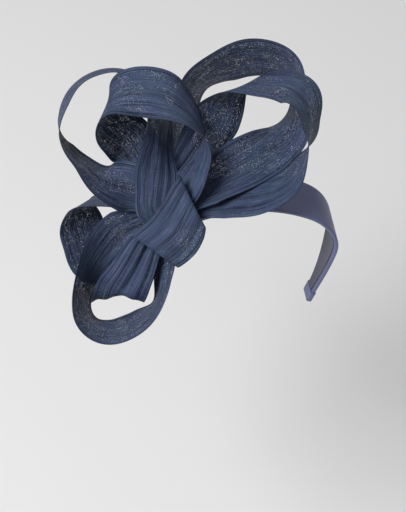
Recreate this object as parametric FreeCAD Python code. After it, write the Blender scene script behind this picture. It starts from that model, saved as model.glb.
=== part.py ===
"""Fascinator headpiece: looped strips of open-weave silk abaca on a satin headband.

Every length is in millimetres.  The row's own frame has +X towards the wearer's
left, +Y towards the back of the head and +Z up through the top of the headband.
Its origin is the middle of the head space, level with the ends of the shoulders.
"""
import FreeCAD, Part
import math
import os

os.makedirs("parts", exist_ok=True)
Vector = FreeCAD.Vector

# ---------------------------------------------------------------- headband sizes
CROWN_RADIUS = 110.0        # flat arc over the top of the head, inner face
CROWN_HALF_ANGLE = 24.0     # degrees each side of the top
SHOULDER_RADIUS = 47.7      # tighter arc that turns down to the ears, inner face
ARM_LENGTH = 70.0           # from the shoulder to the tip
ARM_RADIUS = 300.0          # the arms lean in by this gentle arc
BAND_WIDTH = 44.0           # front to back, over the crown
TIP_WIDTH = 15.0            # front to back, at the tips
TAPER_START = 62.0          # distance along the band from its top to the taper

LINING_THICKNESS = 0.7      # ribbon against the hair
CLOTH_THICKNESS = 0.5       # satin cover
CORE_THICKNESS = 1.2        # sprung plastic strip
PADDING_THICKNESS = 1.0     # felt between the strip and the satin
LAYER_GAP = 0.12            # clearance between two layers
EDGE_GAP = 0.3              # clearance between a layer's edge and the satin fold
LINING_INSET = 3.0          # the lining stops this far inside the band's edge
EDGE_BEVEL = 0.9            # rounding of the band's long edges

TIP_BINDING_LENGTH = 9.0    # satin pocket sewn over each tip
TIP_BINDING_CLOTH = 0.6
TIP_BINDING_OVERRUN = 0.8   # from the end of the band to the pocket's inside

# ---------------------------------------------------------------- trim sizes
STRIP_WIDTH = 46.0          # silk abaca strip, hem to hem
STRIP_THICKNESS = 0.8
WRAP_THICKNESS = 1.0        # the folded wrap is doubled cloth

SEAT_ANGLE = 58.2           # degrees round the shoulder from upright to the trim's seat
SEAT_FORWARD = 2.8          # the seat's distance in front of the band's middle
TRIM_HEIGHT = 7.7           # from the satin up to the middle of the trim
TRIM_TILT = 46.0            # degrees that the trim's face leans back from level
TRIM_TURN = 11.0            # degrees that the trim's face turns to the side

BASE_RADIUS = 23.0          # stiff disc under the trim
BASE_THICKNESS = 1.8
BASE_GAP = 0.1

CORE_RADIUS = 13.5          # bound feet of the loops
CORE_SINK = 0.5             # the feet's back, behind the middle of the trim
CORE_CENTRE = (1, 0, CORE_RADIUS - CORE_SINK)   # in the trim's own directions

THREAD_RADIUS = 0.45
BASE_STITCH_SPAN = 5.0      # one stitch, from the disc to the satin
BASE_STITCHES_PER_END = 4
WRAP_STITCH_SPACING = 2.5
WRAP_STITCH_SIDE = 8.0      # the stitches' place, from the middle of the bound feet
WRAP_STITCH_DROP = -4.0
WRAP_STITCH_REACH = 18.0    # long enough to reach past the wrap's back

# ---------------------------------------------------------------- the strips
# A strip is a list of stations in the trim's own directions: u to the side, v up
# and w out of the trim's face.  Each station holds the middle of the strip, the
# direction across it and the share of the full width that the pleats leave.
CROWN_LOOP = [
    ((-3, 8, 9), (18, 20, -4), 0.4),
    ((-16, 40, -3), (24, 26, -12), 0.8),
    ((-31, 63, -3), (31, 34, -8), 1.0),
    ((-50, 76, 17), (14, 16, -41), 1.0),
    ((-46, 93, 30), (6, 30, -34), 1.0),
    ((-22, 101, 34), (2, 43, -16), 1.0),
    ((4, 96, 34), (-3, 42, -18), 1.0),
    ((22, 82, 30), (2, 28, -36), 1.0),
    ((33, 58, 28), (-8, 14, -42), 1.0),
    ((25, 34, 25), (-22, 8, -34), 0.9),
    ((9, 6, 18), (-18, 8, -2), 0.4),
]
LEFT_LOOP = [
    ((-4, 8, 15), (0, 30, 3), 0.45),
    ((-28, 22, 15), (2, 42, 0), 0.95),
    ((-50, 29, 19), (2, 30, -28), 1.0),
    ((-67, 42, 17), (7, 13, -43), 1.0),
    ((-83, 63, 16), (4, 3, -45), 1.0),
    ((-85, 82, 11), (-9, 1, -44), 1.0),
    ((-80, 100, 5), (-8, 4, -45), 1.0),
    ((-62, 117, -4), (-3, 7, -45), 1.0),
    ((-37, 121, -12), (0, 7, -45), 1.0),
    ((-12, 108, -14), (6, 8, -44), 1.0),
    ((-3, 82, 4), (16, 2, -42), 1.0),
    ((-5, 45, 22), (30, 0, -31), 0.95),
    ((-8, 15, 25), (34, -2, 0), 0.72),
    ((-8, 3, 24), (34, -6, 0), 0.68),
    ((-4, -5, 22), (28, -8, 0), 0.5),
]
BACK_LOOP = [
    ((8, 4, 14), (-6, 24, -14), 0.4),
    ((34, 24, 12), (-12, 36, -24), 0.95),
    ((62, 41, 14), (-12, 42, -14), 1.0),
    ((88, 56, 4), (-24, 34, -20), 1.0),
    ((103, 70, -6), (-27, 20, -32), 1.0),
    ((110, 86, -12), (-15, 8, -43), 1.0),
    ((106, 124, -14), (-12, -14, -42), 1.0),
    ((75, 134, -12), (0, -28, -36), 1.0),
    ((44, 124, -14), (8, -22, -40), 1.0),
    ((23, 107, -30), (10, -10, -43), 1.0),
    ((10, 74, -42), (26, -8, -36), 1.0),
    ((-3, 40, -23), (22, -2, -20), 0.7),
    ((-3, 6, 5), (24, -8, 4), 0.4),
]
RIGHT_LOOP = [
    ((3, 9, 6), (26, -14, 4), 0.4),
    ((16, 42, -9), (30, -16, 2), 0.6),
    ((42, 80, -10), (36, -16, -16), 1.0),
    ((58, 105, 6), (20, 4, -42), 1.0),
    ((86, 109, 22), (8, 26, -38), 1.0),
    ((112, 100, 30), (23, 24, -32), 1.0),
    ((121, 78, 34), (19, 2, -42), 1.0),
    ((121, 64, 33), (11, 1, -45), 1.0),
    ((115, 48, 33), (-6, 4, -45), 1.0),
    ((104, 28, 30), (-15, 15, -40), 1.0),
    ((80, 17, 24), (-12, 30, -30), 1.0),
    ((50, 13, 14), (-8, 30, -26), 0.9),
    ((11, 1, 10), (-6, 20, -16), 0.4),
]
BACK_LEFT_LOOP = [
    ((-7, 2, 3), (6, 20, -8), 0.4),
    ((-36, 12, -14), (6, 16, -42), 0.9),
    ((-60, 12, -8), (8, 12, -42), 1.0),
    ((-73, 8, -13), (16, 11, -41), 1.0),
    ((-73, -5, -19), (32, 14, -28), 1.0),
    ((-69, -20, -24), (36, 10, -26), 1.0),
    ((-61, -40, -30), (34, 10, -28), 1.0),
    ((-38, -38, -32), (24, 30, -20), 0.9),
    ((-22, -16, -22), (18, 18, 0), 0.6),
    ((-6, -4, 5), (16, 16, 4), 0.4),
]
LOW_LOOP = [
    ((2, -8, 14), (-22, 2, -12), 0.4),
    ((1, -40, 12), (-28, 0, -32), 0.6),
    ((-3, -67, 24), (-6, 6, -44), 1.0),
    ((-18, -86, 30), (-10, 14, -42), 1.0),
    ((-42, -97, 28), (0, 20, -42), 1.0),
    ((-64, -88, 22), (8, 12, -42), 1.0),
    ((-68, -64, 14), (14, 2, -44), 1.0),
    ((-54, -36, 4), (32, -6, -30), 1.0),
    ((-34, -13, 0), (34, -18, -14), 0.9),
    ((-8, -2, 6), (16, -20, -4), 0.4),
]
SHORT_LOOP = [
    ((-3, -7, 18), (24, -10, 2), 0.4),
    ((-17, -28, 18), (26, -9, 2), 0.65),
    ((-28, -50, 17), (38, -2, 4), 0.85),
    ((-39, -68, 12), (42, 6, 2), 1.0),
    ((-38, -66, 4), (40, 4, 0), 0.95),
    ((-25, -42, 3), (34, -4, 4), 0.75),
    ((-7, -8, 8), (26, -6, 4), 0.4),
]
# The wrap folds slantwise, so the lines across it are not square to its run.
# Its vectors reach from edge to edge, and their length is the width there.
KNOT_WRAP = [
    ((16, -3, 27), (16, -24, 0)),
    ((19, 8, 29), (16, -40, 0)),
    ((23, 11, 33), (20, -43, -2)),
    ((20, 2, 37), (26, -44, -2)),
    ((10, -15, 39), (30, -38, -2)),
    ((0, -25, 37), (31, -34, -2)),
    ((-8, -31, 32), (38, -26, -2)),
    ((-4, -27, 28), (34, -24, -2)),
    ((3, -18, 28), (22, -18, 0)),
]
STEPS_PER_STATION = 5       # sections made between two stations


# ---------------------------------------------------------------- shape helpers
def smooth_curve(points, parameters):
    """Return a smooth curve that passes each point at its parameter."""
    curve = Part.BSplineCurve()
    curve.interpolate(Points=points, Parameters=parameters)
    return curve


def running_lengths(points):
    """Return the distance along a line of points, at each of them."""
    runs = [0.0]
    for before, after in zip(points, points[1:]):
        runs.append(runs[-1] + (after - before).Length)
    return runs


def solid_through(sections, straight_spans=False):
    """Return a solid through sections, which list the same corners in order."""
    outlines = [Part.makePolygon(section + [section[0]]) for section in sections]
    return Part.makeLoft(outlines, True, straight_spans)


def save(node, shape):
    """Write one sub-part, and stop if its shape is not sound."""
    if not shape.isValid():
        raise ValueError("shape of " + node + " is not valid")
    shape.exportStep("parts/" + node + ".step")
    print("%-20s solids %d  volume %.0f mm3" % (node, len(shape.Solids), shape.Volume))


# ---------------------------------------------------------------- headband
CROWN_ANGLE = math.radians(CROWN_HALF_ANGLE)
CROWN_RUN = CROWN_RADIUS * CROWN_ANGLE
SHOULDER_ANGLE = math.pi / 2 - CROWN_ANGLE
SHOULDER_RUN = SHOULDER_RADIUS * SHOULDER_ANGLE
HALF_RUN = CROWN_RUN + SHOULDER_RUN + ARM_LENGTH
SHOULDER_X = (CROWN_RADIUS - SHOULDER_RADIUS) * math.sin(CROWN_ANGLE)
CROWN_Z = (SHOULDER_RADIUS - CROWN_RADIUS) * math.cos(CROWN_ANGLE)

COVER_INNER = LINING_THICKNESS + LAYER_GAP
CORE_INNER = COVER_INNER + CLOTH_THICKNESS + LAYER_GAP
PADDING_INNER = CORE_INNER + CORE_THICKNESS + LAYER_GAP
COVER_OUTER = PADDING_INNER + PADDING_THICKNESS + LAYER_GAP + CLOTH_THICKNESS


def band_frame(run):
    """Return the inner face's point and its outward direction at a run from the top."""
    distance = abs(run)
    side = -1 if run < 0 else 1
    if distance <= CROWN_RUN:
        angle = distance / CROWN_RADIUS
        x = CROWN_RADIUS * math.sin(angle)
        z = CROWN_Z + CROWN_RADIUS * math.cos(angle)
    elif distance <= CROWN_RUN + SHOULDER_RUN:
        angle = CROWN_ANGLE + (distance - CROWN_RUN) / SHOULDER_RADIUS
        x = SHOULDER_X + SHOULDER_RADIUS * math.sin(angle)
        z = SHOULDER_RADIUS * math.cos(angle)
    else:
        lean = (distance - CROWN_RUN - SHOULDER_RUN) / ARM_RADIUS
        angle = math.pi / 2 + lean
        x = SHOULDER_X + SHOULDER_RADIUS - ARM_RADIUS * (1 - math.cos(lean))
        z = -ARM_RADIUS * math.sin(lean)
    point = Vector(side * x, 0, z)
    outward = Vector(side * math.sin(angle), 0, math.cos(angle))
    return point, outward


def band_half_width(run):
    """Return half the band's width at a run from the top."""
    share = (abs(run) - TAPER_START) / (HALF_RUN - TAPER_START)
    share = min(max(share, 0.0), 1.2)
    smooth = share * share * (3 - 2 * share) if share < 1 else 1.0
    return (BAND_WIDTH + (TIP_WIDTH - BAND_WIDTH) * smooth) / 2


def band_layer(inner, outer, inset, first_run, last_run, bevel=0.0, steps=40):
    """Return one layer of the band between two heights above its inner face."""
    sections = []
    for step in range(steps + 1):
        run = first_run + (last_run - first_run) * step / steps
        point, outward = band_frame(run)
        half = band_half_width(run) - inset
        corners = [(-half + bevel, inner), (half - bevel, inner), (half, inner + bevel),
                   (half, outer - bevel), (half - bevel, outer), (-half + bevel, outer),
                   (-half, outer - bevel), (-half, inner + bevel)]
        if bevel == 0.0:
            corners = [(-half, inner), (half, inner), (half, outer), (-half, outer)]
        section = []
        for across, height in corners:
            section.append(point + outward * height + Vector(0, across, 0))
        sections.append(section)
    return solid_through(sections)


def make_headband():
    """Write the headband's layers, from the hair outwards, and its two tip bindings."""
    fold = CLOTH_THICKNESS + EDGE_GAP
    lining_end = HALF_RUN - TIP_BINDING_LENGTH - 1.0
    save("band_lining", band_layer(0.0, LINING_THICKNESS, LINING_INSET, -lining_end, lining_end))
    sleeve = band_layer(COVER_INNER, COVER_OUTER, 0.0, -HALF_RUN, HALF_RUN, EDGE_BEVEL)
    pocket_end = HALF_RUN + 2.0
    pocket = band_layer(COVER_INNER + CLOTH_THICKNESS, COVER_OUTER - CLOTH_THICKNESS,
                        CLOTH_THICKNESS, -pocket_end, pocket_end)
    save("band_cover", sleeve.cut(pocket))
    save("band_core", band_layer(CORE_INNER, CORE_INNER + CORE_THICKNESS, fold,
                                 -HALF_RUN, HALF_RUN))
    save("band_padding", band_layer(PADDING_INNER, PADDING_INNER + PADDING_THICKNESS,
                                    fold, -HALF_RUN, HALF_RUN))
    inner = COVER_INNER - LAYER_GAP
    outer = COVER_OUTER + LAYER_GAP
    for name, side in (("tip_binding_left", 1), ("tip_binding_right", -1)):
        start = HALF_RUN - TIP_BINDING_LENGTH
        hollow_end = HALF_RUN + TIP_BINDING_OVERRUN
        closed_end = hollow_end + TIP_BINDING_CLOTH
        skin = band_layer(inner - TIP_BINDING_CLOTH, outer + TIP_BINDING_CLOTH,
                          -TIP_BINDING_CLOTH - LAYER_GAP, side * start, side * closed_end,
                          EDGE_BEVEL, 6)
        hollow = band_layer(inner, outer, -LAYER_GAP, side * (start - 2), side * hollow_end,
                            0.0, 6)
        save(name, skin.cut(hollow))


# ---------------------------------------------------------------- the trim's place
SEAT_RADIANS = math.radians(SEAT_ANGLE)
SEAT_UP = Vector(-math.sin(SEAT_RADIANS), 0, math.cos(SEAT_RADIANS))
SHOULDER_CENTRE = Vector(-SHOULDER_X, -SEAT_FORWARD, 0)
SATIN_RADIUS = SHOULDER_RADIUS + COVER_OUTER
TRIM_ORIGIN = SHOULDER_CENTRE + SEAT_UP * (SATIN_RADIUS + TRIM_HEIGHT)

TILT = math.radians(TRIM_TILT)
TURN = math.radians(TRIM_TURN)
TRIM_UP = Vector(0, math.sin(TILT), math.cos(TILT))
TRIM_OUT = Vector(-math.sin(TURN), -math.cos(TURN) * math.cos(TILT), math.cos(TURN) * math.sin(TILT))
TRIM_SIDE = TRIM_UP.cross(TRIM_OUT)


def trim_vector(uvw):
    """Return a direction given in the trim's own directions."""
    u, v, w = uvw
    return TRIM_SIDE * u + TRIM_UP * v + TRIM_OUT * w


def trim_point(uvw):
    """Return a point given in the trim's own directions."""
    return TRIM_ORIGIN + trim_vector(uvw)


# ---------------------------------------------------------------- the trim's pieces
def make_base():
    """Return the stiff disc, curved to the shoulder that it is sewn on."""
    lower = SATIN_RADIUS + BASE_GAP
    along_y = Vector(0, 1, 0)
    start = SHOULDER_CENTRE - along_y * BASE_RADIUS * 2
    outer = Part.makeCylinder(lower + BASE_THICKNESS, BASE_RADIUS * 4, start, along_y)
    inner = Part.makeCylinder(lower, BASE_RADIUS * 4, start, along_y)
    punch = Part.makeCylinder(BASE_RADIUS, SATIN_RADIUS * 1.2, SHOULDER_CENTRE, SEAT_UP)
    return outer.cut(inner).common(punch)


def make_base_stitches():
    """Return the thread bars that hold the disc's two ends to the satin."""
    bars = []
    top = SATIN_RADIUS + BASE_GAP + BASE_THICKNESS
    half_angle = math.asin(BASE_RADIUS * 0.93 / top)
    for side in (-1, 1):
        for index in range(BASE_STITCHES_PER_END):
            y = (index - (BASE_STITCHES_PER_END - 1) / 2) * BASE_STITCH_SPAN
            angle = SEAT_RADIANS + side * half_angle
            lift = top + THREAD_RADIUS
            outward = Vector(-math.sin(angle), 0, math.cos(angle))
            along = Vector(math.cos(angle), 0, math.sin(angle)) * -side
            middle = SHOULDER_CENTRE + outward * lift + Vector(0, y, 0)
            bars.append(Part.makeCylinder(THREAD_RADIUS, BASE_STITCH_SPAN,
                                          middle - along * (BASE_STITCH_SPAN / 2), along))
    return Part.makeCompound(bars)


def strip_sections(stations, thickness, slantwise):
    """Return the strip's sections, each with its four corners."""
    middles = [trim_point(station[0]) for station in stations]
    acrosses = [trim_vector(station[1]) for station in stations]
    if slantwise:
        widths = [across.Length for across in acrosses]
    else:
        widths = [station[2] * STRIP_WIDTH for station in stations]
    for across in acrosses:
        across.normalize()
    runs = running_lengths(middles)
    middle_curve = smooth_curve(middles, runs)
    across_curve = smooth_curve(acrosses, runs)
    sections = []
    for index in range(len(stations) - 1):
        steps = STEPS_PER_STATION + (1 if index == len(stations) - 2 else 0)
        for step in range(steps):
            share = step / STEPS_PER_STATION
            run = runs[index] + share * (runs[index + 1] - runs[index])
            width = widths[index] + share * (widths[index + 1] - widths[index])
            middle = middle_curve.value(run)
            along = middle_curve.tangent(run)[0]
            across = across_curve.value(run)
            if not slantwise:
                across = across - along * across.dot(along)
            across.normalize()
            upright = along.cross(across)
            upright.normalize()
            half = across * (width / 2)
            lift = upright * (thickness / 2)
            sections.append([middle - half - lift, middle + half - lift,
                             middle + half + lift, middle - half + lift])
    return sections


def make_wrap_stitches(feet, wrap):
    """Return the short threads that tie the back of the wrap to the bound feet."""
    threads = []
    u, v, w = CORE_CENTRE
    for offset in (-WRAP_STITCH_SPACING, 0, WRAP_STITCH_SPACING):
        start = trim_point((u + WRAP_STITCH_SIDE, v + WRAP_STITCH_DROP + offset, w))
        thread = Part.makeCylinder(THREAD_RADIUS, WRAP_STITCH_REACH, start, TRIM_OUT)
        outside = thread.cut(feet).cut(wrap)
        threads.append(min(outside.Solids, key=lambda solid: start.distanceToPoint(solid.CenterOfMass)))
    return Part.makeCompound(threads)


def make_trim():
    """Write the disc, the bound feet, the loops, the wrap and their stitches."""
    base = make_base()
    save("trim_base", base)
    save("base_stitches", make_base_stitches())
    feet = Part.makeSphere(CORE_RADIUS, trim_point(CORE_CENTRE)).cut(base)
    save("bound_feet", feet)
    loops = {
        "crown_loop": CROWN_LOOP,
        "left_loop": LEFT_LOOP,
        "back_loop": BACK_LOOP,
        "right_loop": RIGHT_LOOP,
        "back_left_loop": BACK_LEFT_LOOP,
        "low_loop": LOW_LOOP,
        "short_loop": SHORT_LOOP,
    }
    for node, stations in loops.items():
        strip = solid_through(strip_sections(stations, STRIP_THICKNESS, False), True)
        trimmed = strip.cut(feet)
        save(node, max(trimmed.Solids, key=lambda solid: solid.Volume))
    wrap = solid_through(strip_sections(KNOT_WRAP, WRAP_THICKNESS, True), True)
    save("knot_wrap", wrap)
    save("wrap_stitches", make_wrap_stitches(feet, wrap))


make_headband()
make_trim()
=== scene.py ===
"""Fascinator headpiece: looped strips of open-weave silk abaca on a satin headband."""
import math
import random

import bpy
import numpy as np
from bpy.props import FloatProperty, FloatVectorProperty, IntProperty, PointerProperty
from mathutils import Matrix, Vector


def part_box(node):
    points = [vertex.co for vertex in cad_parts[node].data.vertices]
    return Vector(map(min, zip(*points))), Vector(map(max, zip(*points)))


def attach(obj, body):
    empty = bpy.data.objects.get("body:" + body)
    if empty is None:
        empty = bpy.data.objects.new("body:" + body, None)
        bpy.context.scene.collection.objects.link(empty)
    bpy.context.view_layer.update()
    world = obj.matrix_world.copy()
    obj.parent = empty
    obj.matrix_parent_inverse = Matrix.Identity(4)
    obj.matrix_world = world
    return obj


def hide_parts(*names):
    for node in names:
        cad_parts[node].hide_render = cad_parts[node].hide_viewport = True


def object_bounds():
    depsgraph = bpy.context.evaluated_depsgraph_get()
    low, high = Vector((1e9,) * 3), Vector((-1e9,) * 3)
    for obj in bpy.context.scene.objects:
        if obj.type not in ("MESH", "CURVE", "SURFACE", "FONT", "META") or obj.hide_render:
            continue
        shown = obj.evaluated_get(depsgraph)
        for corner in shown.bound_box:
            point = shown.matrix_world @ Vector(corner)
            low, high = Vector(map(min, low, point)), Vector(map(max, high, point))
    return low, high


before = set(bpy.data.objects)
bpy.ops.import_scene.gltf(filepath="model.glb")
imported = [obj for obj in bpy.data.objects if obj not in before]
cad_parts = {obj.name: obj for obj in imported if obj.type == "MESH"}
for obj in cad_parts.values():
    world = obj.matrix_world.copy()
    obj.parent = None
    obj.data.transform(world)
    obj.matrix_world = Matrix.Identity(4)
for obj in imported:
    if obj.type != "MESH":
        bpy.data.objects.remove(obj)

bl_info = {
    "name": "Silk abaca fascinator",
    "version": (1, 0, 0),
    "blender": (4, 5, 0),
    "location": "3D View > Sidebar > Fascinator",
    "description": "Makes the cloth, finishes and studio of a looped fascinator headpiece",
    "category": "Object",
}

CAD_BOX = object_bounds()
MM = 0.001

# ---------------------------------------------------------------- the weave, in millimetres
THREAD_GAP_ACROSS = 1.05        # from one lengthwise thread to the next
THREAD_GAP_ALONG = 1.15         # from one crosswise thread to the next
CUT_APART = 400.0               # from one strip to the next on the uncut cloth

# ---------------------------------------------------------------- other finishes, in metres
RIB_GAP = 0.0009                # from one rib of the ribbon to the next
RIB_RADIUS = 0.075              # the ribs fan out around the head, at this radius
RIB_DROP = 0.02                 # and from a line this far below the middle of the head
THREAD_TWIST = 0.0006           # from one turn of the sewing thread to the next
STRAW_GAP = 0.0012              # from one straw of the stiff net to the next

# ---------------------------------------------------------------- the mesh of a strip
FACE_COLUMNS = 40
HEM_COLUMNS = 4
TIGHTEST_SHARE = 0.4            # share of the width that is left at a fully gathered foot
SLACK_WAVES = (0.083, 0.051, 0.033)     # lengths of the waves along a slack edge, in metres
PLEAT_WANDER = 0.021            # run over which the pleats drift sideways, in metres
WRAP_SEED = 20

# ---------------------------------------------------------------- the studio, in metres
FLOOR_REACH = 6.0
SENSOR_WIDTH = 36.0             # millimetres
# Each light: place from the trim (to the side, up and out), then the size of its panel.
KEY_LIGHT = ((-1.3, 0.7, 2.4), 1.2)
FILL_LIGHT = ((2.4, 0.6, 1.6), 2.0)
BACK_LIGHT = ((0.6, 2.4, -0.3), 1.6)
VIEW_MIDDLE = (0.0321, -0.0346, 0.0)    # what the camera looks at, from the trim

# ---------------------------------------------------------------- the trim's place
# The trim has directions of its own: to the side, up its face and out of its face.
TRIM_TILT = math.radians(46.0)
TRIM_TURN = math.radians(11.0)
TRIM_UP = Vector((0, math.sin(TRIM_TILT), math.cos(TRIM_TILT)))
TRIM_OUT = Vector((
    -math.sin(TRIM_TURN),
    -math.cos(TRIM_TURN) * math.cos(TRIM_TILT),
    math.cos(TRIM_TURN) * math.sin(TRIM_TILT),
))
TRIM_SIDE = TRIM_UP.cross(TRIM_OUT)
TRIM_AXES = np.array([TRIM_SIDE, TRIM_UP, TRIM_OUT])
FEET_LOW, FEET_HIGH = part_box("bound_feet")
FEET_IN_TRIM = (1, 0, 13)       # middle of the bound feet, in the trim's directions
TRIM_ORIGIN = np.array((FEET_LOW + FEET_HIGH) / 2) - np.array(FEET_IN_TRIM) @ TRIM_AXES * MM

# ---------------------------------------------------------------- the strips
# A station holds the middle of the strip, the direction across it and the share of
# the full width that the pleats leave, in the trim's directions and in millimetres.
LOOPS = {
    "crown_loop": [
        ((-3, 8, 9), (18, 20, -4), 0.4),
        ((-16, 40, -3), (24, 26, -12), 0.8),
        ((-31, 63, -3), (31, 34, -8), 1.0),
        ((-50, 76, 17), (14, 16, -41), 1.0),
        ((-46, 93, 30), (6, 30, -34), 1.0),
        ((-22, 101, 34), (2, 43, -16), 1.0),
        ((4, 96, 34), (-3, 42, -18), 1.0),
        ((22, 82, 30), (2, 28, -36), 1.0),
        ((33, 58, 28), (-8, 14, -42), 1.0),
        ((25, 34, 25), (-22, 8, -34), 0.9),
        ((9, 6, 18), (-18, 8, -2), 0.4),
    ],
    "left_loop": [
        ((-4, 8, 15), (0, 30, 3), 0.45),
        ((-28, 22, 15), (2, 42, 0), 0.95),
        ((-50, 29, 19), (2, 30, -28), 1.0),
        ((-67, 42, 17), (7, 13, -43), 1.0),
        ((-83, 63, 16), (4, 3, -45), 1.0),
        ((-85, 82, 11), (-9, 1, -44), 1.0),
        ((-80, 100, 5), (-8, 4, -45), 1.0),
        ((-62, 117, -4), (-3, 7, -45), 1.0),
        ((-37, 121, -12), (0, 7, -45), 1.0),
        ((-12, 108, -14), (6, 8, -44), 1.0),
        ((-3, 82, 4), (16, 2, -42), 1.0),
        ((-5, 45, 22), (30, 0, -31), 0.95),
        ((-8, 15, 25), (34, -2, 0), 0.72),
        ((-8, 3, 24), (34, -6, 0), 0.68),
        ((-4, -5, 22), (28, -8, 0), 0.5),
    ],
    "back_loop": [
        ((8, 4, 14), (-6, 24, -14), 0.4),
        ((34, 24, 12), (-12, 36, -24), 0.95),
        ((62, 41, 14), (-12, 42, -14), 1.0),
        ((88, 56, 4), (-24, 34, -20), 1.0),
        ((103, 70, -6), (-27, 20, -32), 1.0),
        ((110, 86, -12), (-15, 8, -43), 1.0),
        ((106, 124, -14), (-12, -14, -42), 1.0),
        ((75, 134, -12), (0, -28, -36), 1.0),
        ((44, 124, -14), (8, -22, -40), 1.0),
        ((23, 107, -30), (10, -10, -43), 1.0),
        ((10, 74, -42), (26, -8, -36), 1.0),
        ((-3, 40, -23), (22, -2, -20), 0.7),
        ((-3, 6, 5), (24, -8, 4), 0.4),
    ],
    "right_loop": [
        ((3, 9, 6), (26, -14, 4), 0.4),
        ((16, 42, -9), (30, -16, 2), 0.6),
        ((42, 80, -10), (36, -16, -16), 1.0),
        ((58, 105, 6), (20, 4, -42), 1.0),
        ((86, 109, 22), (8, 26, -38), 1.0),
        ((112, 100, 30), (23, 24, -32), 1.0),
        ((121, 78, 34), (19, 2, -42), 1.0),
        ((121, 64, 33), (11, 1, -45), 1.0),
        ((115, 48, 33), (-6, 4, -45), 1.0),
        ((104, 28, 30), (-15, 15, -40), 1.0),
        ((80, 17, 24), (-12, 30, -30), 1.0),
        ((50, 13, 14), (-8, 30, -26), 0.9),
        ((11, 1, 10), (-6, 20, -16), 0.4),
    ],
    "back_left_loop": [
        ((-7, 2, 3), (6, 20, -8), 0.4),
        ((-36, 12, -14), (6, 16, -42), 0.9),
        ((-60, 12, -8), (8, 12, -42), 1.0),
        ((-73, 8, -13), (16, 11, -41), 1.0),
        ((-73, -5, -19), (32, 14, -28), 1.0),
        ((-69, -20, -24), (36, 10, -26), 1.0),
        ((-61, -40, -30), (34, 10, -28), 1.0),
        ((-38, -38, -32), (24, 30, -20), 0.9),
        ((-22, -16, -22), (18, 18, 0), 0.6),
        ((-6, -4, 5), (16, 16, 4), 0.4),
    ],
    "low_loop": [
        ((2, -8, 14), (-22, 2, -12), 0.4),
        ((1, -40, 12), (-28, 0, -32), 0.6),
        ((-3, -67, 24), (-6, 6, -44), 1.0),
        ((-18, -86, 30), (-10, 14, -42), 1.0),
        ((-42, -97, 28), (0, 20, -42), 1.0),
        ((-64, -88, 22), (8, 12, -42), 1.0),
        ((-68, -64, 14), (14, 2, -44), 1.0),
        ((-54, -36, 4), (32, -6, -30), 1.0),
        ((-34, -13, 0), (34, -18, -14), 0.9),
        ((-8, -2, 6), (16, -20, -4), 0.4),
    ],
    "short_loop": [
        ((-3, -7, 18), (24, -10, 2), 0.4),
        ((-17, -28, 18), (26, -9, 2), 0.65),
        ((-28, -50, 17), (38, -2, 4), 0.85),
        ((-39, -68, 12), (42, 6, 2), 1.0),
        ((-38, -66, 4), (40, 4, 0), 0.95),
        ((-25, -42, 3), (34, -4, 4), 0.75),
        ((-7, -8, 8), (26, -6, 4), 0.4),
    ],
}
# The wrap folds slantwise, so its vectors reach from edge to edge and are not square
# to its run.
KNOT_WRAP = [
    ((16, -3, 27), (16, -24, 0)),
    ((19, 8, 29), (16, -40, 0)),
    ((23, 11, 33), (20, -43, -2)),
    ((20, 2, 37), (26, -44, -2)),
    ((10, -15, 39), (30, -38, -2)),
    ((0, -25, 37), (31, -34, -2)),
    ((-8, -31, 32), (38, -26, -2)),
    ((-4, -27, 28), (34, -24, -2)),
    ((3, -18, 28), (22, -18, 0)),
]
# Creases along a strip: place across it as a share of its width, depth and spread in
# millimetres, and the shares of the length where the crease starts and stops.
CREASES = {
    "left_loop": [
        (0.32, -1.8, 2.6, 0.70, 1.0),
        (0.05, 0.8, 3.0, 0.74, 1.0),
        (-0.20, -0.8, 2.4, 0.72, 1.0),
        (-0.20, 1.2, 4.0, 0.0, 0.14),
        (0.0, 3.6, 15.0, 0.2, 0.62),
    ],
    "back_loop": [(0.10, 1.6, 5.0, 0.05, 0.30), (-0.28, -1.2, 3.0, 0.05, 0.26)],
    "right_loop": [(-0.15, 1.4, 4.0, 0.72, 0.95)],
    "low_loop": [(0.22, -1.6, 3.0, 0.72, 1.0)],
    "short_loop": [
        (0.02, -4.5, 2.2, 0.0, 0.44),
        (0.28, 1.8, 5.0, 0.0, 0.6),
        (-0.24, 1.8, 5.0, 0.0, 0.6),
        (0.50, -4.0, 8.0, 0.34, 0.66),
        (-0.50, 3.0, 5.0, 0.40, 0.60),
    ],
    "knot_wrap": [(0.18, 1.0, 3.0, 0.2, 0.8), (-0.22, -0.8, 2.5, 0.2, 0.8)],
}


# ---------------------------------------------------------------- settings
class StripSettings(bpy.types.PropertyGroup):
    """Sizes of the silk abaca strips."""

    width: FloatProperty(name="Strip width", description="Hem to hem", default=0.046, unit="LENGTH")
    hem: FloatProperty(name="Hem", description="Cloth turned back along each edge",
                       default=0.0032, unit="LENGTH")
    hem_gap: FloatProperty(name="Hem gap", description="From the strip to its turned hem",
                           default=0.0005, unit="LENGTH")
    pleat_depth: FloatProperty(name="Pleat depth", description="Height of the pleats at the feet",
                               default=0.0014, unit="LENGTH")
    pleats: IntProperty(name="Pleats", description="Pleats across a gathered foot", default=4)
    ripple: FloatProperty(name="Ripple", description="Height of the slack waves along the edges",
                          default=0.0005, unit="LENGTH")
    step: FloatProperty(name="Mesh step", description="Distance between two rows of the mesh",
                        default=0.0016, unit="LENGTH")


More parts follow.
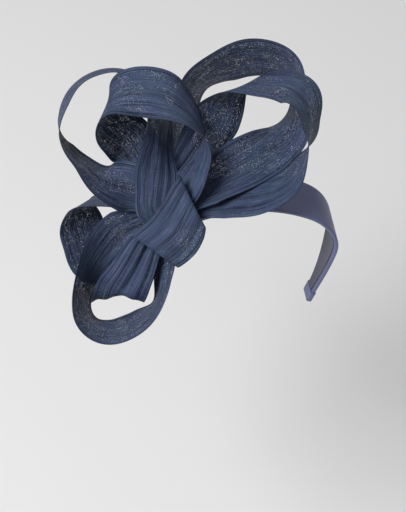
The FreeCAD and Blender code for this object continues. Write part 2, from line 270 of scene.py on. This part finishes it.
class ColourSettings(bpy.types.PropertyGroup):
    """Colours of the finishes."""

    # Dark thread, and also painted shade: this colour fills the dips between the threads, the line
    # along each hem's edge and the grooves of the stiff net.
    silk_dark_and_shade: FloatVectorProperty(name="Silk, dark thread", description="Thread in the weave's dips",
                                   subtype="COLOR", size=3, default=(0.003, 0.0045, 0.011))
    silk_mid: FloatVectorProperty(name="Silk", description="Main colour of the silk abaca",
                                  subtype="COLOR", size=3, default=(0.047, 0.066, 0.136))
    silk_slub: FloatVectorProperty(name="Silk, slubs", description="Thick pale threads",
                                   subtype="COLOR", size=3, default=(0.20, 0.25, 0.39))
    silk_cool: FloatVectorProperty(name="Silk, teal cast", description="Patches with a teal cast",
                                   subtype="COLOR", size=3, default=(0.038, 0.072, 0.118))
    # Painted glints: the pale colour of the flecks where fibres would catch the light.
    silk_glint: FloatVectorProperty(name="Silk, glints", description="Loose fibres that catch light",
                                    subtype="COLOR", size=3, default=(0.38, 0.42, 0.48))
    satin: FloatVectorProperty(name="Satin", description="Headband cover",
                               subtype="COLOR", size=3, default=(0.098, 0.112, 0.225))
    ribbon: FloatVectorProperty(name="Ribbon", description="Headband lining",
                                subtype="COLOR", size=3, default=(0.020, 0.026, 0.070))
    thread: FloatVectorProperty(name="Thread", description="Sewing thread",
                                subtype="COLOR", size=3, default=(0.022, 0.034, 0.085))
    floor: FloatVectorProperty(name="Floor", description="Studio floor",
                               subtype="COLOR", size=3, default=(0.83, 0.83, 0.83))


class StageSettings(bpy.types.PropertyGroup):
    """Studio floor, lights and camera."""

    floor_drop: FloatProperty(name="Floor drop", description="From the headpiece down to the floor",
                              default=0.40, unit="LENGTH")
    camera_distance: FloatProperty(name="Camera distance", description="From the trim to the camera",
                                   default=1.5, unit="LENGTH")
    lens: FloatProperty(name="Lens", description="Focal length of the camera", default=125.0,
                        unit="CAMERA")
    key_power: FloatProperty(name="Key light", description="Soft light, above and left of the camera",
                             default=84.0, unit="POWER")
    fill_power: FloatProperty(name="Fill light", description="Weak soft light from the right",
                              default=2.5, unit="POWER")
    back_power: FloatProperty(name="Back light", description="Soft light from behind and above",
                              default=10.0, unit="POWER")
    sky: FloatProperty(name="Sky", description="Strength of the light from all round", default=0.27)


# ---------------------------------------------------------------- shader writing
class Wire:
    """A socket of a finish that takes part in sums, so that a + b adds a Math node."""

    def __init__(self, finish, socket):
        self.finish = finish
        self.socket = socket

    def join(self, operation, *values):
        """Add a Math node of the given operation."""
        return self.finish.node("ShaderNodeMath", {"operation": operation}, dict(enumerate(values)))

    def __add__(self, other):
        return self.join("ADD", self, other)

    __radd__ = __add__

    def __mul__(self, other):
        return self.join("MULTIPLY", self, other)

    __rmul__ = __mul__

    def __sub__(self, other):
        return self.join("SUBTRACT", self, other)

    def __rsub__(self, other):
        return self.join("SUBTRACT", other, self)

    def __truediv__(self, other):
        return self.join("DIVIDE", self, other)

    def __abs__(self):
        return self.join("ABSOLUTE", self)

    def sine(self):
        return self.join("SINE", self)

    def rise(self, low, high):
        """Return 0 below low, 1 above high and a smooth rise between them."""
        settings = {"interpolation_type": "SMOOTHSTEP"}
        return self.finish.node("ShaderNodeMapRange", settings, {0: self, 1: low, 2: high})


class Finish:
    """A material under construction."""

    def __init__(self, name):
        self.material = bpy.data.materials.new(name)
        self.material.use_nodes = True
        self.tree = self.material.node_tree
        self.shader = self.tree.nodes["Principled BSDF"]

    def node(self, kind, settings=None, sockets=None, output=0):
        """Add a node, set it up, feed its sockets and return one of its outputs."""
        node = self.tree.nodes.new(kind)
        for name, value in (settings or {}).items():
            setattr(node, name, value)
        for name, value in (sockets or {}).items():
            self.feed(node.inputs[name], value)
        return Wire(self, node.outputs[output])

    def feed(self, socket, value):
        """Link a socket to a wire, or set its value."""
        if isinstance(value, Wire):
            self.tree.links.new(value.socket, socket)
        else:
            socket.default_value = value

    def parts(self, vector):
        """Return a vector's three values."""
        first = self.node("ShaderNodeSeparateXYZ", None, {0: vector})
        return [Wire(self, output) for output in first.socket.node.outputs]

    def place(self):
        """Return the place on the piece, in metres."""
        return self.node("ShaderNodeTexCoord", None, None, "Object")

    def vector(self, x, y, z=0.0):
        """Return the vector with these three values."""
        return self.node("ShaderNodeCombineXYZ", None, {0: x, 1: y, 2: z})

    def noise(self, vector, scale, detail=2.0, roughness=0.5):
        """Return soft noise from 0 to 1."""
        sockets = {"Vector": vector, "Scale": scale, "Detail": detail, "Roughness": roughness}
        return self.node("ShaderNodeTexNoise", None, sockets, "Fac")

    def mix(self, share, first, second):
        """Return the first colour, with so great a share of the second."""
        settings = {"data_type": "RGBA"}
        return self.node("ShaderNodeMix", settings, {0: share, 6: first, 7: second}, 2)

    def bump(self, height, distance, strength):
        """Return the normal of a face raised by height times distance."""
        sockets = {"Height": height, "Distance": distance, "Strength": strength}
        return self.node("ShaderNodeBump", None, sockets)

    def surface(self, **sockets):
        """Feed the shader's own sockets, named with underscores for spaces."""
        for name, value in sockets.items():
            self.feed(self.shader.inputs[name.replace("_", " ")], value)
        return self.material


def solid(colour):
    """Return a colour with full opacity."""
    return (colour[0], colour[1], colour[2], 1.0)


def silk_abaca(colours, strips):
    """Open plain weave of uneven threads, with slubs along the strip and pinholes.

    The cloth's own place is in millimetres: across the strip from its middle, and along it.
    """
    finish = Finish("open_weave")
    place = finish.node("ShaderNodeUVMap", {"uv_map": "weave"})
    across, along, _ = finish.parts(place)
    # The threads wander, so that no line of the weave is straight.
    drift = finish.noise(finish.vector(across * 0.16, along * 0.05), 1.0, 2.0) * 1.6
    drift_along = finish.noise(finish.vector(across * 0.07, along * 0.12, 7.0), 1.0, 2.0) * 1.6
    column = across / THREAD_GAP_ACROSS + drift
    row = along / THREAD_GAP_ALONG + drift_along
    thread_across = abs((column * math.pi).sine())
    thread_along = abs((row * math.pi).sine())
    crossing = finish.vector(column.join("ROUND", column), row.join("ROUND", row))
    cell = finish.node("ShaderNodeTexWhiteNoise", None, {"Vector": crossing})
    one_thread = finish.vector(column.join("ROUND", column), 3.0)
    thread_tone = finish.node("ShaderNodeTexWhiteNoise", None, {"Vector": one_thread})
    # Each of these varies over its own distance, long ones along the strip.
    streak = finish.noise(finish.vector(across * 0.95, along * 0.016, 3.0), 1.0, 3.0, 0.6)
    fine_streak = finish.noise(finish.vector(across * 2.6, along * 0.05, 11.0), 1.0, 2.0, 0.6)
    band = finish.noise(finish.vector(across * 0.22, along * 0.008, 15.0), 1.0, 2.0)
    weft = finish.noise(finish.vector(across * 0.08, along * 1.7, 5.0), 1.0, 2.0, 0.6)
    cloud = finish.noise(finish.vector(across * 0.06, along * 0.03, 1.0), 1.0, 2.0)
    openness = finish.noise(finish.vector(across * 0.16, along * 0.07, 9.0), 1.0, 3.0, 0.6)
    inset = (strips.width / 2 - strips.hem) / MM - abs(across)
    hem = 1 - inset.rise(-0.2, 0.2)
    # Painted shade: a thin dark line along the inner edge of each turned hem, where the hem's edge
    # shades the cloth; the same line is a shallow groove in the height.
    hem_shade_line = 1 - abs(inset).rise(0.15, 0.65)
    slub = fine_streak.rise(0.55, 0.64) * 0.8 + streak.rise(0.56, 0.66) * 0.4
    thread = thread_across * 0.5 + thread_along * 0.5
    run_tone = streak.rise(0.34, 0.62) * 0.26 + band.rise(0.34, 0.62) * 0.24 + thread_tone * 0.4
    grain = run_tone + weft.rise(0.4, 0.66) * 0.22
    # Painted shade: the tone is darker in the dips between the threads; the rest of its change is the
    # threads' own uneven colour.
    tone = thread * 0.4 + grain * 0.8
    body = finish.mix(tone.rise(0.38, 0.84), solid(colours.silk_dark_and_shade), solid(colours.silk_mid))
    cool = finish.mix(cloud.rise(0.42, 0.66) * 0.45, body, solid(colours.silk_cool))
    bright = finish.mix(slub * thread_across * 0.8, cool, solid(colours.silk_slub))
    # Painted glints: pale flecks on the crosswise threads stand for loose fibres and raised threads
    # catching the light.
    flecks = finish.noise(finish.vector(across * 2.2, along * 1.1, 21.0), 1.0, 2.0, 0.7)
    glint = flecks.rise(0.66, 0.76) * thread_along
    speckled = finish.mix(glint * 0.5, bright, solid(colours.silk_glint))
    # Painted shade along the hem's edge, in the dark colour.
    colour = finish.mix(hem_shade_line * 0.7, speckled, solid(colours.silk_dark_and_shade))
    # A pinhole opens between four threads where the cloth is slack.
    gap = (1 - thread_across) * (1 - thread_along)
    hole = (gap + cell * 0.9 + openness * 1.3 - hem * 0.35 - slub * 0.3).rise(1.92, 1.99)
    height = thread * 0.6 + slub * 0.8 + weft * 0.25 + hem * 0.8 - hem_shade_line * 0.6
    return finish.surface(
        Base_Color=colour,
        Roughness=0.60 - slub * 0.18,
        Alpha=1 - hole,
        Normal=finish.bump(height, 0.00035, 0.8),
        Specular_IOR_Level=0.18,
        Sheen_Weight=0.05,
        Sheen_Roughness=0.45,
        Sheen_Tint=(0.55, 0.65, 0.95, 1.0),
    )


def satin(colours):
    """Smooth warp-faced satin with a faint fine rib and cloudy patches of painted sheen."""
    finish = Finish("band_satin")
    place = finish.place()
    x, y, z = finish.parts(place)
    rib = ((y * 2200.0 + finish.noise(place, 60.0) * 2.0) * math.pi).sine()
    fine = finish.noise(finish.vector(x * 900.0, y * 5200.0, z * 900.0), 1.0, 2.0)
    cloud = finish.noise(place, 38.0, 3.0)
    # Painted sheen: pale cloudy patches; the fine grain mixed in with them is the satin's own.
    pale = [channel * 1.28 for channel in colours.satin]
    colour = finish.mix(cloud.rise(0.3, 0.7) * 0.6 + fine * 0.3, solid(colours.satin), solid(pale))
    return finish.surface(
        Base_Color=colour,
        Roughness=0.40 + fine * 0.14,
        Normal=finish.bump(rib * 0.3 + fine, 0.00006, 0.7),
        Specular_IOR_Level=0.45,
        Sheen_Weight=0.2,
        Sheen_Roughness=0.35,
        Sheen_Tint=(0.7, 0.7, 1.0, 1.0),
    )


def ribbed_ribbon(colours):
    """Grosgrain, with ribs across the band."""
    finish = Finish("grosgrain")
    place = finish.place()
    x, _, z = finish.parts(place)
    turn = x.join("ARCTAN2", x, z + RIB_DROP)
    rib = abs((turn * (RIB_RADIUS / RIB_GAP) * math.pi).sine())
    fine = finish.noise(place, 900.0, 2.0)
    # Painted shade: darker in the grooves between the ribs; the fine noise is the ribbon's own grain.
    dark = [channel * 0.45 for channel in colours.ribbon]
    colour = finish.mix(rib * 0.7 + fine * 0.3, solid(dark), solid(colours.ribbon))
    return finish.surface(
        Base_Color=colour,
        Roughness=0.72 - rib * 0.12,
        Normal=finish.bump(rib + fine * 0.3, 0.0002, 0.9),
        Sheen_Weight=0.2,
    )


def sewing_thread(colours):
    """Twisted thread."""
    finish = Finish("sewing_thread")
    place = finish.place()
    x, y, z = finish.parts(place)
    twist = ((x + y + z) * (math.pi / THREAD_TWIST)).sine()
    fine = finish.noise(place, 1400.0, 2.0)
    # Painted light and shade: paler on the crowns of the twist, darker in its grooves; the fine noise
    # is the thread's own.
    pale = [channel * 1.8 for channel in colours.thread]
    colour = finish.mix(abs(twist) * 0.6 + fine * 0.4, solid(colours.thread), solid(pale))
    return finish.surface(
        Base_Color=colour,
        Roughness=0.6 + fine * 0.15,
        Normal=finish.bump(abs(twist), 0.0001, 0.8),
    )


def stiff_net(colours):
    """Stiffened woven straw under the trim."""
    finish = Finish("stiff_net")
    place = finish.place()
    _, y, z = finish.parts(place)
    first = abs((y * (math.pi / STRAW_GAP)).sine())
    second = abs((z * (math.pi / STRAW_GAP)).sine())
    weave = first * second
    # Painted shade: the grooves between the straws take the dark silk colour, the straws a pale one.
    pale = [channel * 1.6 for channel in colours.thread]
    colour = finish.mix(weave, solid(colours.silk_dark_and_shade), solid(pale))
    return finish.surface(
        Base_Color=colour,
        Roughness=0.7 - weave * 0.2,
        Normal=finish.bump(weave, 0.0003, 0.9),
    )


def moulded_plastic():
    """Matt black strip inside the band."""
    finish = Finish("moulded_plastic")
    place = finish.place()
    grain = finish.noise(place, 1200.0, 3.0)
    colour = finish.mix(grain, (0.012, 0.012, 0.014, 1), (0.03, 0.03, 0.034, 1))
    return finish.surface(Base_Color=colour, Roughness=0.45 + grain * 0.2,
                          Normal=finish.bump(grain, 0.00005, 0.5))


def wool_felt():
    """Thin felt inside the band."""
    finish = Finish("wool_felt")
    place = finish.place()
    fibre = finish.noise(place, 700.0, 4.0, 0.7)
    colour = finish.mix(fibre, (0.05, 0.055, 0.085, 1), (0.11, 0.12, 0.17, 1))
    return finish.surface(Base_Color=colour, Roughness=0.85 + fibre * 0.1,
                          Normal=finish.bump(fibre, 0.0003, 0.7))


def wear(node, material):
    """Give a CAD node a finish, in its own material slots."""
    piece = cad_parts[node]
    if not piece.material_slots:
        raise RuntimeError(node + " has no material slot")
    for slot in piece.material_slots:
        slot.material = material
    for polygon in piece.data.polygons:
        polygon.use_smooth = True


# ---------------------------------------------------------------- cloth strips
def smooth_through(runs, values, at):
    """Return the natural cubic curve through values at runs, for each place in at."""
    count = len(runs)
    gaps = np.diff(runs)
    slopes = np.diff(values, axis=0) / gaps[:, None]
    system = np.eye(count)
    right = np.zeros_like(values)
    for i in range(1, count - 1):
        system[i, i - 1] = gaps[i - 1]
        system[i, i] = 2 * (gaps[i - 1] + gaps[i])
        system[i, i + 1] = gaps[i]
        right[i] = 6 * (slopes[i] - slopes[i - 1])
    bends = np.linalg.solve(system, right)
    i = np.clip(np.searchsorted(runs, at, side="right") - 1, 0, count - 2)
    gap = gaps[i][:, None]
    before = (at - runs[i])[:, None]
    after = gap - before
    return (
        (bends[i] * after**3 + bends[i + 1] * before**3) / (6 * gap)
        + (values[i] / gap - bends[i] * gap / 6) * after
        + (values[i + 1] / gap - bends[i + 1] * gap / 6) * before
    )


def unit(vectors):
    """Return vectors of length one in the same directions."""
    return vectors / np.linalg.norm(vectors, axis=-1, keepdims=True)


def strip_rows(stations, settings, slantwise):
    """Return each row's middle, across, upright, share of the width and run."""
    middles = TRIM_ORIGIN + np.array([s[0] for s in stations]) @ TRIM_AXES * MM
    acrosses = np.array([s[1] for s in stations], float) @ TRIM_AXES
    if slantwise:
        shares = np.linalg.norm(acrosses, axis=1) * MM / settings.width
    else:
        shares = np.array([s[2] for s in stations])
    runs = np.concatenate([[0], np.cumsum(np.linalg.norm(np.diff(middles, axis=0), axis=1))])
    at = np.linspace(0, runs[-1], int(runs[-1] / settings.step) + 1)
    middle = smooth_through(runs, middles, at)
    across = smooth_through(runs, unit(acrosses), at)
    along = unit(np.gradient(middle, at, axis=0))
    if not slantwise:
        across = across - (across * along).sum(1)[:, None] * along
    across = unit(across)
    upright = unit(np.cross(along, across))
    share = np.interp(at, runs, shares)
    return middle, across, upright, share, at


def strip_columns(settings):
    """Return each column's place across, its drop behind the face and its cloth place."""
    half = settings.width / 2
    round_off = settings.hem_gap / 2
    turned = np.linspace(half - settings.hem, half - round_off, HEM_COLUMNS)
    face = np.linspace(-half + round_off, half - round_off, FACE_COLUMNS)
    places = np.concatenate([-turned, [-half], face, [half], turned[::-1]])
    hem_drop = np.full(HEM_COLUMNS, settings.hem_gap)
    drops = np.concatenate([hem_drop, [round_off], np.zeros(FACE_COLUMNS), [round_off], hem_drop])
    cloth = np.concatenate([
        -(2 * half - turned), [-half], face, [half], (2 * half - turned)[::-1],
    ])
    return places, drops, cloth


def bump_between(share, start, stop):
    """Return 1 between two shares of the length and a soft fall outside them."""
    fall = 0.06
    rise = np.clip((share - start) / fall + (start <= 0), 0, 1)
    drop = np.clip((stop - share) / fall + (stop >= 1), 0, 1)
    return rise * rise * (3 - 2 * rise) * drop * drop * (3 - 2 * drop)


def cloth_lift(name, settings, places, share, runs, seed):
    """Return how far the cloth stands off the strip's smooth face, for each row and column."""
    draw = random.Random(seed)
    half = settings.width / 2
    side = places[None, :] / half
    run = runs[:, None]
    length = runs[-1]
    # Pleats, deepest where the strip is gathered most.
    gathered = np.clip((1 - share) / (1 - TIGHTEST_SHARE), 0, 1)[:, None]
    phase = draw.uniform(0, 2 * math.pi)
    wander = 0.7 * np.sin(run / PLEAT_WANDER + draw.uniform(0, 6))
    wave = np.sin(side * math.pi * settings.pleats + phase + wander)
    wave = wave + 0.35 * np.sin(side * math.pi * (2 * settings.pleats + 1) + draw.uniform(0, 6))
    lift = settings.pleat_depth * gathered * wave
    # Both edges are a little slack and wave.
    for edge in (-1, 1):
        slack = np.zeros_like(run)
        for wave_length in SLACK_WAVES:
            slack = slack + np.sin(run / wave_length * 2 * math.pi + draw.uniform(0, 6)) / 2
        reach = np.clip(side * edge, 0, 1) ** 2
        lift = lift + settings.ripple * slack * reach
    # Each crease sways a little from side to side on its way.
    for place, depth, spread, start, stop in CREASES.get(name, ()):
        sway = 0.03 * np.sin(run / length * 5 + place * 9)
        distance = (side / 2 - place - sway) * settings.width / (spread * MM)
        window = bump_between(runs / length, start, stop)[:, None]
        lift = lift + depth * MM * np.exp(-distance * distance) * window
    return lift


def make_strip(name, stations, settings, seed, slantwise=False):
    """Make one hemmed strip of silk abaca as a sheet of cloth."""
    middle, across, upright, share, runs = strip_rows(stations, settings, slantwise)
    places, drops, cloth = strip_columns(settings)
    lift = cloth_lift(name, settings, places, share, runs, seed) - drops[None, :]
    points = (
        middle[:, None]
        + across[:, None] * (places[None, :] * share[:, None])[..., None]
        + upright[:, None] * lift[..., None]
    )
    rows, columns = lift.shape
    corner = np.arange(rows * columns).reshape(rows, columns)
    faces = np.stack([corner[:-1, :-1], corner[:-1, 1:], corner[1:, 1:], corner[1:, :-1]], -1)
    mesh = bpy.data.meshes.new(name + "_cloth")
    mesh.from_pydata(points.reshape(-1, 3).tolist(), [], faces.reshape(-1, 4).tolist())
    layer = mesh.uv_layers.new(name="weave")
    flat = np.stack(np.broadcast_arrays(cloth[None, :], runs[:, None]), -1).reshape(-1, 2) / MM
    index = np.zeros(len(mesh.loops), np.int32)
    mesh.loops.foreach_get("vertex_index", index)
    layer.data.foreach_set("uv", (flat[index] + (0, seed * CUT_APART)).ravel())
    mesh.polygons.foreach_set("use_smooth", [True] * len(mesh.polygons))
    mesh.update()
    piece = bpy.data.objects.new(name + "_cloth", mesh)
    bpy.context.scene.collection.objects.link(piece)
    piece.data.materials.append(bpy.data.materials["open_weave"])
    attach(piece, "root")
    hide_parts(name)


# ---------------------------------------------------------------- operators
class FASCINATOR_OT_make_finishes(bpy.types.Operator):
    """Make the finishes and give the CAD pieces theirs."""

    bl_idname = "fascinator.make_finishes"
    bl_label = "Finishes"

    def execute(self, context):
        colours = context.scene.fascinator_colours
        silk_abaca(colours, context.scene.fascinator_strips)
        cloth = satin(colours)
        thread = sewing_thread(colours)
        wear("band_cover", cloth)
        wear("tip_binding_left", cloth)
        wear("tip_binding_right", cloth)
        wear("band_lining", ribbed_ribbon(colours))
        wear("band_core", moulded_plastic())
        wear("band_padding", wool_felt())
        wear("trim_base", stiff_net(colours))
        for node in ("base_stitches", "bound_feet", "wrap_stitches"):
            wear(node, thread)
        return {"FINISHED"}


class FASCINATOR_OT_make_loops(bpy.types.Operator):
    """Make the looped strips of silk abaca."""

    bl_idname = "fascinator.make_loops"
    bl_label = "Loops"

    def execute(self, context):
        for seed, (name, stations) in enumerate(LOOPS.items()):
            make_strip(name, stations, context.scene.fascinator_strips, seed + 1)
        return {"FINISHED"}


class FASCINATOR_OT_make_wrap(bpy.types.Operator):
    """Make the folded wrap over the knot."""

    bl_idname = "fascinator.make_wrap"
    bl_label = "Knot wrap"

    def execute(self, context):
        strips = context.scene.fascinator_strips
        make_strip("knot_wrap", KNOT_WRAP, strips, WRAP_SEED, slantwise=True)
        return {"FINISHED"}


def from_trim(side, up, out):
    """Return the place that is so many metres to the side of the trim, up and out."""
    return Vector(TRIM_ORIGIN) + TRIM_SIDE * side + TRIM_UP * up + TRIM_OUT * out


def add_area_light(name, panel, power):
    """Add a soft light that faces the trim."""
    offset, size = panel
    light = bpy.data.lights.new(name, "AREA")
    light.energy = power
    light.size = size
    lamp = bpy.data.objects.new(name, light)
    lamp.location = from_trim(*offset)
    facing = from_trim(0, 0, 0) - lamp.location
    lamp.rotation_euler = facing.to_track_quat("-Z", "Y").to_euler()
    bpy.context.scene.collection.objects.link(lamp)


class FASCINATOR_OT_make_stage(bpy.types.Operator):
    """Make the floor, the soft lights and the camera."""

    bl_idname = "fascinator.make_stage"
    bl_label = "Stage"

    def execute(self, context):
        stage = context.scene.fascinator_stage
        colours = context.scene.fascinator_colours
        mesh = bpy.data.meshes.new("floor")
        height = CAD_BOX[0][2] - stage.floor_drop
        corners = [(-1, -1), (1, -1), (1, 1), (-1, 1)]
        points = [(x * FLOOR_REACH, y * FLOOR_REACH, height) for x, y in corners]
        mesh.from_pydata(points, [], [(0, 1, 2, 3)])
        floor = bpy.data.objects.new("floor", mesh)
        context.scene.collection.objects.link(floor)
        finish = Finish("studio_floor")
        mesh.materials.append(finish.surface(Base_Color=solid(colours.floor), Roughness=0.9,
                                             Specular_IOR_Level=0.0))

        world = bpy.data.worlds.new("studio")
        context.scene.world = world
        world.use_nodes = True
        background = world.node_tree.nodes["Background"]
        background.inputs["Color"].default_value = (1, 1, 1, 1)
        background.inputs["Strength"].default_value = stage.sky

        add_area_light("key_light", KEY_LIGHT, stage.key_power)
        add_area_light("fill_light", FILL_LIGHT, stage.fill_power)
        add_area_light("back_light", BACK_LIGHT, stage.back_power)

        camera = bpy.data.cameras.new("camera")
        camera.lens = stage.lens
        camera.sensor_width = SENSOR_WIDTH
        camera.clip_end = 50.0
        eye = bpy.data.objects.new("camera", camera)
        place = from_trim(*VIEW_MIDDLE) + TRIM_OUT * stage.camera_distance
        facing = Matrix((TRIM_SIDE, TRIM_UP, TRIM_OUT)).transposed().to_4x4()
        eye.matrix_world = Matrix.Translation(place) @ facing
        context.scene.collection.objects.link(eye)
        context.scene.camera = eye
        context.scene.view_settings.view_transform = "Standard"
        return {"FINISHED"}


class FASCINATOR_PT_panel(bpy.types.Panel):
    """Lists the pieces and their settings."""

    bl_idname = "FASCINATOR_PT_panel"
    bl_label = "Fascinator"
    bl_space_type = "VIEW_3D"
    bl_region_type = "UI"
    bl_category = "Fascinator"

    def draw(self, context):
        for operator in OPERATORS:
            self.layout.operator(operator.bl_idname)
        for name, kind in SETTINGS.items():
            group = getattr(context.scene, name)
            box = self.layout.box()
            for field in kind.__annotations__:
                box.prop(group, field)


SETTINGS = {
    "fascinator_strips": StripSettings,
    "fascinator_colours": ColourSettings,
    "fascinator_stage": StageSettings,
}
OPERATORS = (
    FASCINATOR_OT_make_finishes,
    FASCINATOR_OT_make_loops,
    FASCINATOR_OT_make_wrap,
    FASCINATOR_OT_make_stage,
)


def register():
    for kind in (*SETTINGS.values(), *OPERATORS, FASCINATOR_PT_panel):
        bpy.utils.register_class(kind)
    for name, kind in SETTINGS.items():
        setattr(bpy.types.Scene, name, PointerProperty(type=kind))


def unregister():
    for name in SETTINGS:
        delattr(bpy.types.Scene, name)
    for kind in (FASCINATOR_PT_panel, *reversed(OPERATORS), *reversed(SETTINGS.values())):
        bpy.utils.unregister_class(kind)


def main():
    register()
    bpy.ops.fascinator.make_finishes()
    bpy.ops.fascinator.make_loops()
    bpy.ops.fascinator.make_wrap()
    bpy.ops.fascinator.make_stage()


if __name__ == "__main__":
    main()
